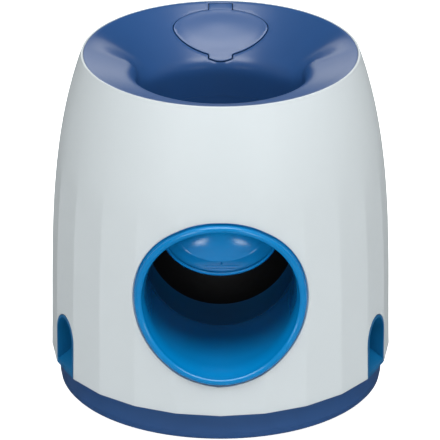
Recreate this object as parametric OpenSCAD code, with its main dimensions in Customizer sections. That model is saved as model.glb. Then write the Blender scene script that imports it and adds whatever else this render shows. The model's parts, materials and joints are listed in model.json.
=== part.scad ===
// Ball-drop treat dispenser for dogs.
// A ball dropped into the funnel swings the trigger flap in the front tube.
// The flap's axle turns two metering drums, which let treats fall to the side outlets.
// Frame: origin at the centre of the footprint on the standing surface, +Z up, front at -Y.
// Lengths are millimetres.

/* [Shell] */
// Largest radius of the outer shell, at the facet corners of its bottom edge
shell_r = 85; // [84.8:0.1:85.6]
// Height of the top rim above the standing surface
top_z = 175; // [174.8:0.1:175.4]
// How far the shell draws in between its bottom edge and its rim
shell_draw = 15.5; // [15.2:0.1:15.6]
// Wall thickness of the outer shell
shell_wall = 2.6; // [2.4:0.1:2.7]
// Number of flat facets round the lower shell
facets = 24; // [24:12:48]

/* [Base] */
// How far the rubber feet stand below the base
foot_h = 1.5; // [1.4:0.1:1.6]
// Outer radius of the base wall
base_r = 80.8; // [80.4:0.1:81]
// Radius of one rubber foot
foot_r = 7; // [5:0.5:8]

/* [Ball path] */
// Height of the front tube's axis
tube_z = 75.5; // [75.3:0.1:75.7]
// Inner radius of the front tube
tube_r = 37; // [36.8:0.1:37.2]
// Radius of the front hole in the shell, which the collar fills
collar_r = 43.3; // [43:0.1:43.6]
// How far the collar's bead stands proud of the shell
collar_h = 1.6; // [1:0.1:2.2]
// Inner radius of the funnel's throat and of the drop shaft
throat_r = 41.9; // [41.8:0.1:42]

/* [Trigger] */
// Hinge axis of the trigger flap, distance behind (+) or before (-) the centre
hinge_y = -28; // [-28.2:0.1:-27.8]
// Height of the hinge axis
hinge_z = 115; // [114.8:0.1:115.2]
// Lean of the flap at rest, bottom to the front, in degrees
flap_lean = 35; // [34:0.5:36]
// Half width of the flap's oval plate
flap_a = 29; // [28.5:0.5:29.5]
// Half height of the flap's oval plate
flap_b = 20.9; // [20.5:0.1:21.3]
// Half width of the dome on the flap
dome_a = 21.7; // [20:0.1:22.5]
// Height of the dome above the plate
dome_h = 6; // [4:0.5:7]
// Radius of the trigger axle
axle_r = 2.5; // [2.2:0.1:2.6]
// Radius of a metering drum
drum_r = 12; // [11:0.5:12]

/* [Treat outlets] */
// Angle of the side outlets from the sideways direction, towards the front
outlet_a = 22.5; // [22:0.5:23]
// Outer half width of an outlet's liner
outlet_w = 10.75; // [10:0.25:11]
// Height where the outlet's straight sides end and its arch begins
outlet_z = 35.5; // [33:0.5:37]
// Slope of the chute floor in degrees
chute_slope = 33; // [30:1:36]

/* [Lid] */
// Half width of the filling lid
lid_a = 23.7; // [22:0.1:24.5]
// Gap between the lid and the edge of its opening
lid_gap = 0.4; // [0.3:0.05:0.5]
// Radius of the lid's hinge pin
pin_r = 0.7; // [0.6:0.05:0.75]

/* [Hidden] */
$fn = 64;
e = 0.05;

white_c = [0.83, 0.86, 0.87];
navy_c = [0.20, 0.29, 0.47];
blue_c = [0.02, 0.46, 0.74];
steel_c = [0.72, 0.73, 0.75];
rubber_c = [0.12, 0.12, 0.13];
pom_c = [0.90, 0.90, 0.88];

shell_z = 16.5;                        // bottom edge of the shell
floor_z = 4.5;                         // top of the base's floor
bore_c = 0.05;                         // running clearance on the radius
half_a = 180 / facets;

// ---------- shell surface ----------
function shell_rad(z) = shell_r - 0.4 * (1 - exp(-(z - shell_z) / 15))
    - shell_draw * pow(max(0, z - shell_z) / (top_z - shell_z), 3.55);
// 0 where the facets are flat, 1 where the shell is round
function fade(z) = let (t = min(1, max(0, (z - 106) / 24))) t * t * (3 - 2 * t);
function facet_k(z, k) = k % 2 == 0 ? 1 : cos(half_a) + (1 - cos(half_a)) * fade(z);
function shell_ring(z, inset) = [for (k = [0 : 2 * facets - 1])
    let (r = shell_rad(z) * facet_k(z, k) - inset, a = k * half_a - 90) [r * cos(a), r * sin(a), z]];
function round_ring(r, z) = [for (k = [0 : 2 * facets - 1])
    let (a = k * half_a - 90) [r * cos(a), r * sin(a), z]];

outer_zs = [shell_z, 45, 75, 95, 106, 114, 122, 130, 140, 150, 158, 165, 170.5, top_z];
inner_zs = [165, 152, 138, 122, 106, 75, shell_z];

// A closed skin through rings of points, the last ring joined to the first
module ring_skin(rings) {
    n = len(rings[0]);
    m = len(rings);
    pts = [for (r = rings) for (p = r) p];
    polyhedron(points = pts, convexity = 10,
        faces = [for (j = [0 : m - 1]) for (i = [0 : n - 1])
            let (j2 = (j + 1) % m, i2 = (i + 1) % n)
            [j * n + i, j2 * n + i, j2 * n + i2, j * n + i2]]);
}

// Solid of revolution that follows the shell's corners at a distance d outside them
module shell_envelope(d) {
    rotate_extrude($fn = 96) polygon(concat([[0, shell_z - 1]],
        [for (z = [shell_z - 1, 30, 45, 60, 75, 90, 100, 110, 120, 130, 140]) [shell_rad(max(z, shell_z)) + d, z]],
        [[0, 140]]));
}

// Turns children to the right-hand outlet: X points out of the outlet
module at_outlet() { rotate([0, 0, -outlet_a]) children(); }

// Arch outline extruded outwards from u0 to u1
module arch(w, z0, u0, u1) {
    translate([u0, 0, 0]) rotate([90, 0, 90]) linear_extrude(u1 - u0) union() {
        translate([-w, z0]) square([2 * w, outlet_z - z0]);
        translate([0, outlet_z]) circle(r = w);
    }
}

screw_pts = [for (a = [45, 135, 225, 315]) 72 * [cos(a), sin(a)]];
chassis_pts = [[-34, 44], [34, 44], [-20, 20], [20, 20]];
foot_pts = [for (a = [0, 90, 180, 270]) 62 * [cos(a), sin(a)]];

module outer_shell() color(white_c) difference() {
    union() {
        ring_skin(concat(
            [for (z = outer_zs) shell_ring(z, 0)],
            [round_ring(68.15, top_z), round_ring(68.15, 172.1), round_ring(67, 172.1)],
            [for (z = inner_zs) shell_ring(z, shell_wall)]));
        for (p = screw_pts) {
            translate([p[0], p[1], 20.1]) cylinder(r = 4.5, h = 40);
            rotate([0, 0, atan2(p[1], p[0])]) translate([73, -1.2, 22]) cube([10, 2.4, 38]);
        }
    }
    for (p = screw_pts) translate([p[0], p[1], 20]) cylinder(r = 1.4, h = 30);
    translate([0, 0, tube_z]) rotate([90, 0, 0]) cylinder(r = collar_r, h = 100);
    at_outlet() arch(outlet_w + 0.2, shell_z - 2, 60, 100);
    mirror([1, 0, 0]) at_outlet() arch(outlet_w + 0.2, shell_z - 2, 60, 100);
    // room for the lid's hinge
    translate([-12.5, 60, 166]) cube([25, 8.4, 6.2]);
    translate([-11.2, 60, 166]) cube([22.4, 8.3, 7.9]);
}

module base() color(navy_c) difference() {
    union() {
        rotate_extrude() polygon([[0, foot_h], [base_r - 1.4, foot_h], [base_r - 0.5, foot_h + 1],
            [base_r, foot_h + 3.5], [base_r, shell_z], [81.2, shell_z], [81.2, 20.5], [80.4, 21.3], [78.4, 21.3],
            [77.2, 20], [77.2, floor_z], [0, floor_z]]);
        for (p = screw_pts) translate([p[0], p[1], floor_z - 1]) cylinder(r = 4.5, h = 21 - floor_z);
    }
    for (p = screw_pts) translate([p[0], p[1], 0]) {
        cylinder(r = 1.8, h = 30);
        cylinder(r = 3.6, h = 5);
    }
    for (p = chassis_pts) translate([p[0], p[1], 0]) {
        cylinder(r = 1.8, h = 10);
        cylinder(r = 3.4, h = 3.4);
    }
    for (p = foot_pts) translate([p[0], p[1], 0]) cylinder(r = foot_r + e, h = 3.05);
    for (m = [0, 1]) mirror([m, 0, 0]) at_outlet() translate([70, -11.3, shell_z]) cube([20, 22.6, 10]);
}

module rubber_feet() color(rubber_c) for (p = foot_pts) translate([p[0], p[1], 0]) rotate_extrude()
    polygon([[0, 0], [foot_r - 0.8, 0], [foot_r, 0.8], [foot_r, 3], [0, 3]]);

// Pan-head screw, head downwards, shank along +Z
module screw(head_r, head_h, shank) {
    difference() {
        cylinder(r = head_r, h = head_h);
        for (a = [0, 90]) rotate([0, 0, a]) translate([-1.7, -0.4, -1]) cube([3.4, 0.8, 1.9]);
    }
    translate([0, 0, head_h - e]) cylinder(r = 1.35, h = shank + e);
}

module base_screws() color(steel_c) for (p = screw_pts) translate([p[0], p[1], 3.2]) screw(3.2, 1.8, 34);

module chassis_screws() color(steel_c) for (p = chassis_pts) translate([p[0], p[1], 1.6]) screw(3, 1.8, 14);

// ---------- funnel and lid ----------
// Profiles as (radius, height) measured from the rim
rim_r = 67.8;
side_top = [[rim_r, top_z], [66.6, top_z - 0.7], [47.1, top_z - 7.4], [45.75, top_z - 8], [44.15, top_z - 9.2],
            [42.9, top_z - 10.8], [42.15, top_z - 12.6], [throat_r, top_z - 14.6]];
rear_top = [[rim_r, top_z], [46.5, top_z - 19.9], [44, top_z - 23], [42.5, top_z - 26.5], [throat_r, top_z - 30.5]];
skirt = [[throat_r, 134.1], [throat_r + 1, 134.1], [throat_r + 1, 138], [throat_r + 2.1, 138]];
rear_low = [[throat_r + 2.1, top_z - 30], [44.4, top_z - 27], [45.6, top_z - 24.1], [48, top_z - 21.6],
            [65.2, top_z - 5.4], [66.8, top_z - 2.8], [rim_r, top_z - 2.8]];
rear_y = 7;                                          // the steep rear part lies behind this plane
slope_b = atan2(19.9, rim_r - 46.5);                 // pitch of the rear slope
pin_s = 2.4;                                           // hinge pin, distance down the slope
pin_d = 1.3;                                         // hinge pin, depth below the slope

// Rear slope at the centre: X across, -Y down the slope, Z out of it, origin at the rim
module on_slope() translate([0, rim_r, top_z]) rotate([slope_b, 0, 0]) children();
module at_pin() on_slope() translate([0, -pin_s, -pin_d]) rotate([0, 90, 0]) children();

function sg(v, p) = v < 0 ? -pow(-v, p) : pow(v, p);
// Lid outline: blunt towards the rim, fuller towards the throat
// g widens it all round, h only towards the rim, where the lid's edge swings past
function lid_pts(g, h = 0) = [for (i = [0 : 71]) let (a = i * 5, up = sin(a) >= 0,
    p = 2 / (up ? 1.8 : 1.7), b = (up ? 11.8 + h : 14) + g)
    [(lid_a + g) * sg(cos(a), p), -16.2 + b * sg(sin(a), p)]];
module lid_outline(g, h = 0) {
    polygon(lid_pts(g, h));
    translate([-5.8 - g, -31.5 - g]) square([11.6 + 2 * g, 12]);
    translate([-3.8 - g, -33.4 - g]) square([7.6 + 2 * g, 12]);
    for (s = [-1, 1]) translate([s * 3.8, -31.4]) circle(r = 2 + g);
}

module funnel() color(navy_c) difference() {
    union() {
        difference() {
            rotate_extrude() polygon(concat(side_top, skirt, rear_low));
            // steep rear part, open upwards
            intersection() {
                rotate_extrude() polygon(concat(rear_top, [[38, top_z - 30.5], [38, top_z + 8], [rim_r, top_z + 8]]));
                translate([-100, rear_y, 100]) cube([200, 100, 100]);
            }
            // space under the shallow front and sides
            intersection() {
                rotate_extrude() polygon([[throat_r + 2.1, top_z - 31], [throat_r + 2.1, top_z - 14.2],
                    [44.9, top_z - 12.2], [46, top_z - 10.9], [47.5, top_z - 9.9], [64, top_z - 4.2],
                    [66.8, top_z - 2.8], [66.8, top_z - 31]]);
                translate([-100, rear_y - 102.2, 100]) cube([200, 100, 100]);
            }
        }
        // bracket that carries the lid's finger tab
        on_slope() translate([-9, -36, -5.6]) cube([18, 6.2, 3.6]);
        // hinge lugs
        for (s = [-1, 1]) at_pin() translate([0, 0, s * 8.3 - 2.2]) cylinder(r = 1.25, h = 4.4, $fn = 32);
    }
    // opening for the lid, with the recess for its finger tab
    on_slope() translate([0, 0, -3.4]) linear_extrude(12) lid_outline(lid_gap, 0.8);
    on_slope() translate([0, 0, -9]) linear_extrude(20) polygon(lid_pts(lid_gap, 0.8));
    on_slope() translate([-6.1, -9, -4]) cube([12.2, 8.3, 10]);
    at_pin() translate([0, 0, -20]) cylinder(r = pin_r + 0.02, h = 40, $fn = 32);
    cylinder(r = throat_r, h = 200);
}

module filling_lid() color(navy_c) difference() {
    union() {
        intersection() {
            rotate_extrude() polygon(concat([for (i = [0 : 3]) rear_top[i]],
                [[44.4, top_z - 27.2], [45.6, top_z - 24.3], [47.9, top_z - 21.4],
                 [rim_r + 1.365, top_z - 1.461]]));
            on_slope() translate([0, 0, -8]) linear_extrude(20) difference() {
                lid_outline(0);
                translate([-20, -3.9]) square([40, 8]);
            }
        }
        at_pin() translate([0, 0, -5.8]) cylinder(r = 1.25, h = 11.6, $fn = 32);
        on_slope() translate([-5.8, -5.4, -1.9]) cube([11.6, 2.2, 1.75]);
    }
    at_pin() translate([0, 0, -20]) cylinder(r = pin_r + bore_c, h = 40, $fn = 32);
}

module lid_hinge_pin() color(steel_c) at_pin() translate([0, 0, -10.4]) cylinder(r = pin_r, h = 20.8, $fn = 32);

// ---------- ball path ----------
module drop_shaft() color(navy_c) difference() {
    translate([0, 0, floor_z + 0.1]) cylinder(r = throat_r + 2.1, h = 138 - floor_z - 0.2);
    cylinder(r = throat_r, h = 200);
    translate([0, 0, 134]) cylinder(r = throat_r + 1.05, h = 10);
    // window for the front tube and the flap
    translate([0, 0, tube_z]) rotate([90, 0, 0]) cylinder(r = tube_r + 4.6, h = 80);
    translate([-tube_r - 4.6, -80, tube_z]) cube([2 * tube_r + 9.2, 80, 127 - tube_z]);
}

// Bowl that turns the falling ball forwards
module ball_ramp() color(navy_c) difference() {
    union() {
        difference() {
            intersection() {
                translate([0, 0, floor_z + 0.1]) cylinder(r = throat_r - 0.3, h = 80 - floor_z);
                translate([-60, -0.9, 0]) cube([120, 60, 100]);
            }
            difference() {
                intersection() {
                    cylinder(r = throat_r - 2.7, h = 77);
                    translate([-60, 1.3, 0]) cube([120, 60, 100]);
                }
                translate([0, 2, 77.5]) sphere(r = tube_r + 4.4, $fn = 96);
            }
        }
        for (i = [2, 3]) translate([chassis_pts[i][0], chassis_pts[i][1], floor_z + 0.1]) cylinder(r = 4.5, h = 50);
    }
    translate([0, 2, 77.5]) sphere(r = tube_r + 2, $fn = 96);
    translate([0, 2, 77.5]) cylinder(r = tube_r + 2, h = 10);
    translate([0, 2, tube_z]) rotate([90, 0, 0]) cylinder(r = tube_r, h = 20);
    for (i = [2, 3]) translate([chassis_pts[i][0], chassis_pts[i][1], 0]) cylinder(r = 1.4, h = 20);
}

module along_y(r, y0, y1) translate([0, y1, tube_z]) rotate([90, 0, 0]) cylinder(r = r, h = y1 - y0);

// Front tube with the collar that lies on the shell
module front_tube() color(blue_c) difference() {
    union() {
        intersection() {
            along_y(tube_r + 2.2, -95, -26);
            shell_envelope(collar_h);
        }
        // bead, the floor of the groove round it, and the flange behind the shell
        difference() {
            intersection() {
                union() {
                    along_y(collar_r - 1.2, -95, -40);
                    intersection() {
                        along_y(collar_r - 0.15, -95, -40);
                        shell_envelope(-1.5);
                    }
                    intersection() {
                        along_y(collar_r + 2.5, -95, -40);
                        shell_envelope(-3.6);
                    }
                }
                shell_envelope(collar_h);
            }
            shell_envelope(-4.4);
        }
    }
    along_y(tube_r, -120, 0);
    // ceiling left open for the flap's swing
    intersection() {
        translate([-60, -100, 96]) cube([120, 100, 40]);
        shell_envelope(-4.5);
    }
    at_bumper() cylinder(r = 2.05, h = 80, center = true);
}

// Rear half of the tube, on a pedestal, with a socket for the front tube
module tube_cradle() color(blue_c) difference() {
    union() {
        along_y(tube_r + 2.2, -26, -1);
        difference() {
            along_y(tube_r + 4.3, -33, -25);
            along_y(tube_r + 2.3, -34, -25.9);
        }
        translate([-12, -20, floor_z + 0.1]) cube([24, 12, tube_z - tube_r - floor_z]);
    }
    along_y(tube_r, -60, 10);
    translate([-60, -60, 96]) cube([120, 80, 60]);
}

// ---------- treat path ----------
floor_a = 21;                                         // pitch of the hopper floor
hop_x0 = 43.6;
hop_x1 = 63.5;
hop_y0 = -42.2;
hop_y1 = -12;
hop_top = 150;

// Half-space above the hopper floor, lowered by d
module above_floor(d) translate([0, hop_y1, 113.5 - d]) rotate([floor_a, 0, 0])
    translate([-120, -60, 0]) cube([240, 200, 160]);

// Half-space above a chute's floor, lowered by d
module above_chute(d) at_outlet() translate([86, 0, 17.8 - d]) rotate([0, chute_slope, 0])
    translate([-120, -60, 0]) cube([140, 120, 200]);

module chute() difference() {
    union() {
        translate([hop_x0, hop_y0, floor_z + 0.1]) cube([hop_x1 - hop_x0, hop_y1 - hop_y0, 98 - floor_z - 0.1]);
        at_outlet() arch(outlet_w, shell_z + 0.1, 56, 84.1);
    }
    intersection() {
        union() {
            translate([hop_x0 + 1.6, hop_y0 + 1.6, 0]) cube([hop_x1 - hop_x0 - 3.2, hop_y1 - hop_y0 - 3.2, 130]);
            at_outlet() arch(outlet_w - 1.3, 10, 52, 100);
        }
        above_chute(0);
    }
    // hollow under the floor
    difference() {
        translate([hop_x0 + 1.6, hop_y0 + 1.6, 0]) cube([hop_x1 - hop_x0 - 3.2, hop_y1 - hop_y0 - 3.2, 90]);
        above_chute(2.4);
    }
}

module right_chute() color(blue_c) chute();
module left_chute() color(blue_c) mirror([1, 0, 0]) chute();

module at_axle() translate([0, hinge_y, hinge_z]) rotate([0, 90, 0]) children();

module hopper_side() difference() {
    union() {
        translate([hop_x0, hop_y0, 98.1]) cube([hop_x1 - hop_x0, hop_y1 - hop_y0, 31.3]);
        translate([hop_x0, hinge_y, 120]) cube([hop_x1 - hop_x0, hop_y1 - hinge_y, hop_top - 120]);
        at_axle() translate([0, 0, hop_x1 - 1]) cylinder(r = 7, h = 4);
    }
    // treats come in from the rear, above the floor
    intersection() {
        translate([hop_x0 + 1.6, hinge_y + 1.6, 100]) cube([hop_x1 - hop_x0 - 3.2, 30, 60]);
        above_floor(0);
    }
    at_axle() translate([0, 0, hop_x0 + 1.6]) cylinder(r = drum_r + 0.6, h = hop_x1 - hop_x0 - 3.2);
    // way down to the chute
    translate([hop_x0 + 1.6, hop_y0 + 1.6, 90]) cube([hop_x1 - hop_x0 - 3.2, 25.2, 22]);
    at_axle() translate([0, 0, hop_x0 - 2]) cylinder(r = axle_r + 0.7, h = 10);
    at_axle() translate([0, 0, hop_x1 - 4]) cylinder(r = 4.45, h = 12);
}

module treat_hopper() color(navy_c) difference() {
    union() {
        difference() {
            intersection() {
                union() {
                    difference() {
                        cylinder(r = 69, h = hop_top);
                        intersection() {
                            cylinder(r = 67.4, h = 200);
                            above_floor(0);
                        }
                    }
                    // ridge that parts the treats to both sides
                    intersection() {
                        cylinder(r = 68, h = 170);
                        translate([0, 75, 0]) rotate([90, 0, 0]) linear_extrude(40)
                            polygon([[-28, 126], [28, 126], [0, 146]]);
                    }
                }
                above_floor(2.4);
                translate([-100, hop_y1, 0]) cube([200, 200, 200]);
            }
            translate([0, 0, 50]) cylinder(r = throat_r + 2.4, h = 130);
        }
        hopper_side();
        mirror([1, 0, 0]) hopper_side();
        // legs to the base
        difference() {
            for (i = [0, 1]) translate([chassis_pts[i][0], chassis_pts[i][1], floor_z + 0.1]) cylinder(r = 4.5, h = 140);
            above_floor(1);
        }
    }
    for (i = [0, 1]) translate([chassis_pts[i][0], chassis_pts[i][1], 0]) cylinder(r = 1.4, h = 20);
}

// ---------- trigger ----------
module axle_bush() at_axle() translate([0, 0, hop_x1 - 1.6]) difference() {
    union() {
        cylinder(r = 4.4, h = 4.6);
        translate([0, 0, 4.6]) cylinder(r = 6, h = 1.1);
    }
    translate([0, 0, -1]) cylinder(r = axle_r + bore_c, h = 10);
}
module right_axle_bush() color(pom_c) axle_bush();
module left_axle_bush() color(pom_c) mirror([1, 0, 0]) axle_bush();

// Flap at rest: X across, -Z down the flap, -Y out of its front face, origin on the hinge axis
module on_flap() translate([0, hinge_y, hinge_z]) rotate([-flap_lean, 0, 0]) children();
// Axis of the rubber stops behind the flap
module at_bumper() on_flap() translate([0, 3.85, -26]) rotate([0, 90, 0]) children();

module stop_bumpers() color(rubber_c) for (s = [-1, 1]) at_bumper()
    translate([0, 0, s * 31 - 4.5]) cylinder(r = 2, h = 9, $fn = 32);

flap_d = 23.8;                                        // centre of the plate, distance from the hinge axis
function oval(a, b, n) = [for (i = [0 : n - 1]) [a * cos(360 * i / n), b * sin(360 * i / n)]];
// Domed oval of height h, drawn in by t all round
module dome(t, h) hull() for (k = [0 : 5]) let (f = cos(k * 17), z = sin(k * 17))
    translate([0, 0, 1.4 + h * z]) linear_extrude(0.1) polygon(oval((dome_a - t) * f, (0.65 * dome_a - t) * f, 36));
module on_plate() translate([0, 0, -flap_d]) rotate([90, 0, 0]) children();

module trigger_flap() color(blue_c) on_flap() difference() {
    union() {
        on_plate() {
            translate([0, 0, -1.5]) linear_extrude(3) polygon(oval(flap_a, flap_b, 96));
            // raised edge
            translate([0, 0, 1.4]) linear_extrude(1) difference() {
                polygon(oval(flap_a, flap_b, 96));
                polygon(oval(flap_a - 1.5, flap_b - 1.5, 96));
            }
            dome(0, dome_h);
        }
        rotate([0, 90, 0]) translate([0, 0, -30]) cylinder(r = 5, h = 60);
        translate([-14, -1.5, -9]) cube([28, 3, 9]);
    }
    // hollow behind the dome
    on_plate() {
        dome(2.2, dome_h - 2.2);
        translate([0, 0, -2]) linear_extrude(3.45) polygon(oval(dome_a - 2.2, 0.65 * dome_a - 2.2, 36));
    }
    rotate([0, 90, 0]) translate([0, 0, -60]) cylinder(r = axle_r + 0.02, h = 120);
}

axle_l = 69.5;
module trigger_axle() color(steel_c) at_axle() difference() {
    translate([0, 0, -axle_l]) cylinder(r = axle_r, h = 2 * axle_l);
    for (s = [-1, 1]) translate([0, 0, s * 68.2 - 0.5]) difference() {
        cylinder(r = axle_r + 1, h = 1);
        translate([0, 0, -1]) cylinder(r = axle_r - 0.5, h = 3);
    }
}

module axle_clips() color(steel_c) for (s = [-1, 1]) at_axle() translate([0, 0, s * 68.2 - 0.4]) difference() {
    cylinder(r = 4.6, h = 0.8);
    translate([0, 0, -1]) cylinder(r = axle_r - 0.48, h = 3);
    translate([0, -1.6, -1]) cube([10, 3.2, 3]);
}

module drum() translate([0, hinge_y, hinge_z]) difference() {
    rotate([0, 90, 0]) translate([0, 0, 46]) cylinder(r = drum_r, h = 15);
    rotate([0, 90, 0]) cylinder(r = axle_r + 0.02, h = 100);
    // treat pocket, facing the hopper at rest
    rotate([-85, 0, 0]) translate([48.2, 0, drum_r - 0.8]) rotate([0, 90, 0]) cylinder(r = 6.6, h = 10.6, $fn = 48);
}
module right_drum() color(blue_c) drum();
module left_drum() color(blue_c) mirror([1, 0, 0]) drum();

// Coil spring round the axle, swept with eight sides
spring_x = [30.8, 43.2];
spring_turns = 6;
module return_spring() color(steel_c) {
    n = spring_turns * 12;
    w = 0.55;
    rm = 3.9;
    pts = [for (i = [0 : n]) let (a = i * 30, x = spring_x[0] + w + (spring_x[1] - spring_x[0] - 2 * w) * i / n)
        for (j = [0 : 7]) let (b = j * 45, r = rm + w * cos(b))
            [x + w * sin(b), hinge_y + r * cos(a), hinge_z + r * sin(a)]];
    polyhedron(points = pts, convexity = 20, faces = concat(
        [[for (j = [7 : -1 : 0]) j]],
        [for (i = [0 : n - 1]) for (j = [0 : 7]) let (j2 = (j + 1) % 8)
            [i * 8 + j2, (i + 1) * 8 + j2, (i + 1) * 8 + j, i * 8 + j]],
        [[for (j = [0 : 7]) n * 8 + j]]));
}

outer_shell();
base();
rubber_feet();
base_screws();
chassis_screws();
funnel();
drop_shaft();
ball_ramp();
front_tube();
tube_cradle();
left_chute();
right_chute();
treat_hopper();
left_axle_bush();
right_axle_bush();
stop_bumpers();
return_spring();
lid_hinge_pin();
trigger_flap();
trigger_axle();
left_drum();
right_drum();
axle_clips();
filling_lid();
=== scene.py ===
# Ball-drop treat dispenser for dogs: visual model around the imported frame.
# Lengths in this file are millimetres until a mesh is made; meshes are in metres.
import json
import math

import bmesh
import bpy
from mathutils import Matrix, Vector
from mathutils.geometry import delaunay_2d_cdt


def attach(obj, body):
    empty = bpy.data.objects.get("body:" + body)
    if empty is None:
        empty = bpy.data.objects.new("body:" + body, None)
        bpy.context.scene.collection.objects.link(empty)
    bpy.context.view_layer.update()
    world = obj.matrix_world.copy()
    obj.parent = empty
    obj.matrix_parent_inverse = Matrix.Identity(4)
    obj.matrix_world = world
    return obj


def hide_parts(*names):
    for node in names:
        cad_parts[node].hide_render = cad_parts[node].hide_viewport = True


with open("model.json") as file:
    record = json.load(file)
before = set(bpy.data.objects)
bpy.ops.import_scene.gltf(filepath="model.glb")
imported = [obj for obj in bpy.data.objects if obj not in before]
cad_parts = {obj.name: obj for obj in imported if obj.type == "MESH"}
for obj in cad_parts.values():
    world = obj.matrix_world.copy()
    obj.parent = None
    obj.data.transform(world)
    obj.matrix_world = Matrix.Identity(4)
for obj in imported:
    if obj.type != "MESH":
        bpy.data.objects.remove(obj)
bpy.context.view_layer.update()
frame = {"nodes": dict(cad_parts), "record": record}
MM = 0.001
rad = math.radians
scene = bpy.context.scene


# ---------------------------------------------------------------- camera
cam_data = bpy.data.cameras.new("camera")
cam_data.lens = 494.5
cam_data.sensor_width = 36.0
cam_data.clip_start = 0.1
cam_data.clip_end = 50.0
cam = bpy.data.objects.new("camera", cam_data)
scene.collection.objects.link(cam)
aim = Vector((-0.28, -0.79, 84.74)) * MM
cam.location = aim + 3.022 * Vector((0.0, -0.9131, 0.4077)).normalized()
cam.rotation_euler = (aim - cam.location).to_track_quat("-Z", "Y").to_euler()
scene.camera = cam


# ---------------------------------------------------------------- materials
def srgb(r, g, b):
    """Linear colour from 8-bit sRGB values."""
    return tuple((c / 12.92 if c <= 0.04045 else ((c + 0.055) / 1.055) ** 2.4)
                 for c in (r / 255.0, g / 255.0, b / 255.0))


def plastic(name, colour, rough=0.42, vary=0.04, grain=2600.0, bump=0.05, coat=0.0, spec=0.5,
            rough_vary=0.06, flow=38.0, coat_rough=0.2, tint=(1.0, 1.0, 1.0)):
    """Moulded plastic: slow colour drift, fine spark-eroded grain, uneven gloss."""
    m = bpy.data.materials.new(name)
    m.use_nodes = True
    nt = m.node_tree
    n, l = nt.nodes, nt.links
    b = n["Principled BSDF"]
    b.inputs["Specular IOR Level"].default_value = spec
    b.inputs["IOR"].default_value = 1.49
    if coat:
        b.inputs["Coat Weight"].default_value = coat
        b.inputs["Coat Roughness"].default_value = coat_rough
    tc = n.new("ShaderNodeTexCoord")
    drift = n.new("ShaderNodeTexNoise")
    drift.inputs["Scale"].default_value = flow
    drift.inputs["Detail"].default_value = 4.0
    drift.inputs["Roughness"].default_value = 0.55
    l.new(tc.outputs["Object"], drift.inputs["Vector"])
    ramp = n.new("ShaderNodeValToRGB")
    ramp.color_ramp.elements[0].position = 0.30
    ramp.color_ramp.elements[1].position = 0.72
    lo = [c * (1.0 - vary) for c in colour]
    hi = [min(1.0, c * (1.0 + vary) * t) for c, t in zip(colour, tint)]
    ramp.color_ramp.elements[0].color = (*lo, 1.0)
    ramp.color_ramp.elements[1].color = (*hi, 1.0)
    l.new(drift.outputs["Fac"], ramp.inputs["Fac"])
    l.new(ramp.outputs["Color"], b.inputs["Base Color"])
    fine = n.new("ShaderNodeTexNoise")
    fine.inputs["Scale"].default_value = grain
    fine.inputs["Detail"].default_value = 2.0
    l.new(tc.outputs["Object"], fine.inputs["Vector"])
    mr = n.new("ShaderNodeMapRange")
    mr.inputs["From Min"].default_value = 0.25
    mr.inputs["From Max"].default_value = 0.75
    mr.inputs["To Min"].default_value = rough - rough_vary
    mr.inputs["To Max"].default_value = rough + rough_vary
    mid = n.new("ShaderNodeTexNoise")
    mid.inputs["Scale"].default_value = 210.0
    mid.inputs["Detail"].default_value = 5.0
    l.new(tc.outputs["Object"], mid.inputs["Vector"])
    l.new(mid.outputs["Fac"], mr.inputs["Value"])
    l.new(mr.outputs["Result"], b.inputs["Roughness"])
    bp = n.new("ShaderNodeBump")
    bp.inputs["Strength"].default_value = bump
    bp.inputs["Distance"].default_value = 0.0001
    l.new(fine.outputs["Fac"], bp.inputs["Height"])
    l.new(bp.outputs["Normal"], b.inputs["Normal"])
    return m


def metal(name, colour, rough=0.3, stretch=(900.0, 900.0, 900.0)):
    """Zinc-plated steel: fine uneven lustre."""
    m = bpy.data.materials.new(name)
    m.use_nodes = True
    nt = m.node_tree
    n, l = nt.nodes, nt.links
    b = n["Principled BSDF"]
    b.inputs["Metallic"].default_value = 1.0
    tc = n.new("ShaderNodeTexCoord")
    mp = n.new("ShaderNodeMapping")
    mp.inputs["Scale"].default_value = stretch
    l.new(tc.outputs["Object"], mp.inputs["Vector"])
    tex = n.new("ShaderNodeTexNoise")
    tex.inputs["Scale"].default_value = 1.0
    tex.inputs["Detail"].default_value = 4.0
    l.new(mp.outputs["Vector"], tex.inputs["Vector"])
    ramp = n.new("ShaderNodeValToRGB")
    ramp.color_ramp.elements[0].position = 0.3
    ramp.color_ramp.elements[1].position = 0.7
    ramp.color_ramp.elements[0].color = (*[c * 0.82 for c in colour], 1.0)
    ramp.color_ramp.elements[1].color = (*colour, 1.0)
    l.new(tex.outputs["Fac"], ramp.inputs["Fac"])
    l.new(ramp.outputs["Color"], b.inputs["Base Color"])
    mr = n.new("ShaderNodeMapRange")
    mr.inputs["To Min"].default_value = rough - 0.08
    mr.inputs["To Max"].default_value = rough + 0.10
    l.new(tex.outputs["Fac"], mr.inputs["Value"])
    l.new(mr.outputs["Result"], b.inputs["Roughness"])
    bp = n.new("ShaderNodeBump")
    bp.inputs["Strength"].default_value = 0.08
    bp.inputs["Distance"].default_value = 0.00005
    l.new(tex.outputs["Fac"], bp.inputs["Height"])
    l.new(bp.outputs["Normal"], b.inputs["Normal"])
    return m


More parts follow.
